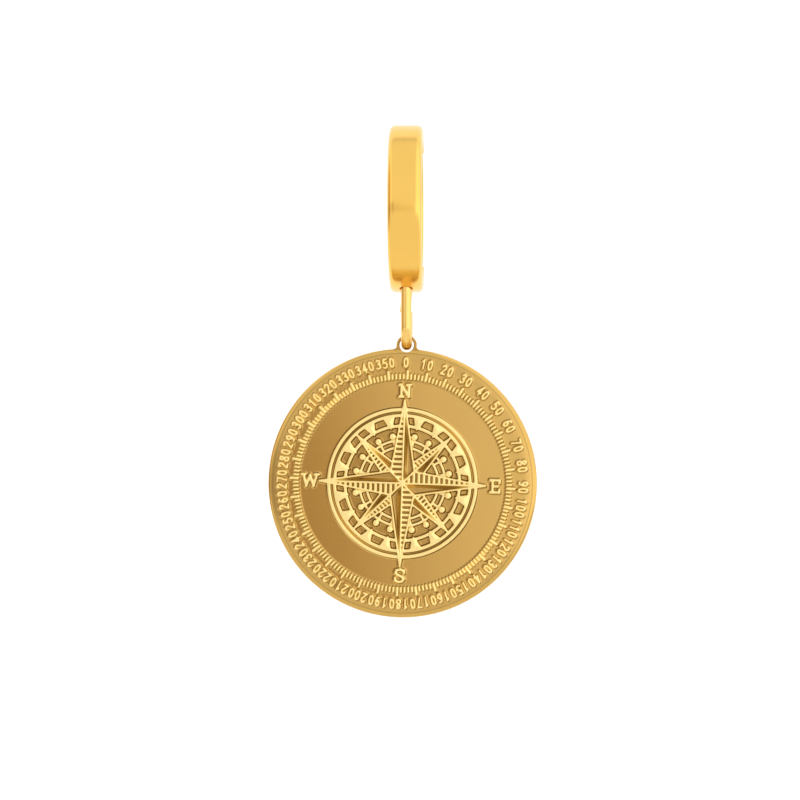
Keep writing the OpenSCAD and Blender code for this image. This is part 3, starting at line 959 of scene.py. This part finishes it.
def world():
    """Soft studio light, warmer and dimmer to the left, in bands along the x, y and z of its direction."""
    made = bpy.data.worlds.new("studio")
    bpy.context.scene.world = made
    made.use_nodes = True
    tree = made.node_tree
    link = tree.links.new
    background = tree.nodes["Background"]
    place = node(tree, "ShaderNodeTexCoord")
    split = node(tree, "ShaderNodeSeparateXYZ")
    link(place.outputs["Generated"], split.inputs["Vector"])

    def ramp(value, low, high, at_low, at_high):
        """A smooth change from one number to another while a value goes from low to high."""
        made = node(tree, "ShaderNodeMapRange", interpolation_type="SMOOTHSTEP")
        for key, number in zip(("From Min", "From Max", "To Min", "To Max"), (low, high, at_low, at_high)):
            made.inputs[key].default_value = number
        link(value, made.inputs["Value"])
        return made.outputs["Result"]

    def math_node(operation, a, b):
        """Arithmetic on two numbers or sockets."""
        made = node(tree, "ShaderNodeMath", operation=operation)
        for socket, value in zip(made.inputs, (a, b)):
            if isinstance(value, (int, float)):
                socket.default_value = value
            else:
                link(value, socket)
        return made.outputs[0]

    def mix(share, a, b):
        """From a to b as the share goes from 0 to 1."""
        rest = math_node("MULTIPLY", math_node("SUBTRACT", 1, share), a)
        return math_node("ADD", rest, math_node("MULTIPLY", share, b))

    def lobe(direction, inner, outer, at_inner, at_outer):
        """A soft patch of light or dark round one direction."""
        made = node(tree, "ShaderNodeVectorMath", operation="DOT_PRODUCT")
        link(place.outputs["Generated"], made.inputs[0])
        way = np.array(direction, float)
        made.inputs[1].default_value = tuple(way / np.linalg.norm(way))
        return ramp(made.outputs["Value"], math.cos(math.radians(outer)), math.cos(math.radians(inner)),
                    at_outer, at_inner)

    x, y, z = split.outputs
    back = ramp(y, *BEHIND, 0, 1)
    side = ramp(math_node("ADD", x, math_node("MULTIPLY", z, RIGHT_TILT)), *RIGHT_SIDE, 0, 1)
    even = math_node("MAXIMUM", ramp(z, *ABOVE, 0, 1), ramp(z, *BELOW, 0, 1))
    front = math_node("ADD", math_node("MULTIPLY", side, RIGHT_LIGHT - LEFT_LIGHT), LEFT_LIGHT)
    front = mix(even, front, EVEN_LIGHT)
    front = math_node("ADD", front, ramp(x, *FAR_RIGHT, 0, MORE_RIGHT))
    front = math_node("ADD", front, ramp(x, *FAR_LEFT, 0, MORE_LEFT))
    front = math_node("MULTIPLY", front, ramp(y, *GAP, 1, GAP_LIGHT))
    open_side = lobe(OPEN_WAY, *OPEN_ANGLES, 0, 1)
    total = math_node("MULTIPLY", mix(back, front, BACK_LIGHT), mix(open_side, OPEN_LIGHT, 1))
    seen = node(tree, "ShaderNodeLightPath").outputs["Is Camera Ray"]
    link(mix(seen, total, SEEN_LIGHT), background.inputs["Strength"])
    tint = node(tree, "ShaderNodeMix", data_type="RGBA")
    tint.inputs["A"].default_value = WARM_TINT
    tint.inputs["B"].default_value = PLAIN_TINT
    away = ramp(x, *UNTINTED_LEFT, 0, 1)
    plain = math_node("MAXIMUM", math_node("MAXIMUM", side, back), math_node("MAXIMUM", away, even))
    plain = math_node("MAXIMUM", math_node("MULTIPLY", plain, open_side), seen)
    link(plain, tint.inputs["Factor"])
    link(tint.outputs["Result"], background.inputs["Color"])


def camera():
    """The photo's view: level, from a little to the right of straight in front."""
    azimuth = math.radians(AZIMUTH)
    data = bpy.data.cameras.new("camera")
    data.sensor_width = SENSOR_WIDTH
    data.lens = SENSOR_WIDTH * DISTANCE / FRAME_WIDTH
    data.clip_start = 0.001
    made = add_object("camera", data)
    place = [AIM_X + DISTANCE * math.sin(azimuth), -DISTANCE * math.cos(azimuth), AIM_Z]
    made.location = np.array(place) * MM
    made.rotation_euler = (math.radians(90), 0, azimuth)
    bpy.context.scene.camera = made


# Making everything

camera()
world()
floor()
bpy.context.scene.view_settings.view_transform = "Standard"

hoop_gold = gold("hoop_gold", GOLD, roughness=0.2)
arm_gold = gold("arm_gold", GOLD, roughness=0.17)
link_gold = gold("link_gold", LIT_LINK_GOLD, roughness=0.22)
# The dial's gold is a darker copy of the gold, painted shade, with the painted highlight and painted shade
# from its stored masks.
dial_gold = gold("medallion_gold", SHADED_FIELD_GOLD, roughness=0.13, satin_and_highlight=0.33, pale=PAINTED_HIGHLIGHT)
plain_gold = gold("medallion_rim_gold", SHADED_RIM_GOLD, roughness=0.13)
ear_gold = gold("ear_gold", SHADED_EAR_GOLD, roughness=0.2)

gap = math.degrees(ARM_GAP / (INSIDE_R + BAND_T / 2))
band = sweep_round_hoop(band_profile(BAND_W), gap - ARM_FROM, 360 - ARM_SPAN - 2 * gap, HOOP_STEPS)
hoop = new_mesh("hoop", *band, "hoop", "hoop_gold", hoop_gold, sharp=35)
legs = [straight_cutter(turn, side) for turn in (-LINK_SWING, 0, LINK_SWING) for side in (-1, 1)]
cut(hoop, [tunnel_cutter()] + legs)
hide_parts("hoop_band")
bar = sweep_round_hoop(band_profile(ARM_W), -ARM_FROM - ARM_SPAN, ARM_SPAN, ARM_STEPS)
arm = new_mesh("arm", *bar, "hoop", "arm_gold", arm_gold, sharp=35)
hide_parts("closing_arm")
wire = new_mesh("wire_link", *sweep_wire(link_path(), WIRE_R), "link", "link_gold", link_gold, sharp=50)
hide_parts("link")

body = disc_body(plain_gold)
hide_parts("medallion")
ear(ear_gold)
dial_zone("star", 0, STAR_R, dial_gold)
dial_zone("window_ring", STAR_R, ROSE_R, dial_gold)
dial_zone("letter_ring", ROSE_R, LETTERS_R, dial_gold, WIDE_STEP)
dial_zone("tick_ring", LETTERS_R, TICKS_R, dial_gold)
dial_zone("number_ring", TICKS_R, DIAL_R, dial_gold)
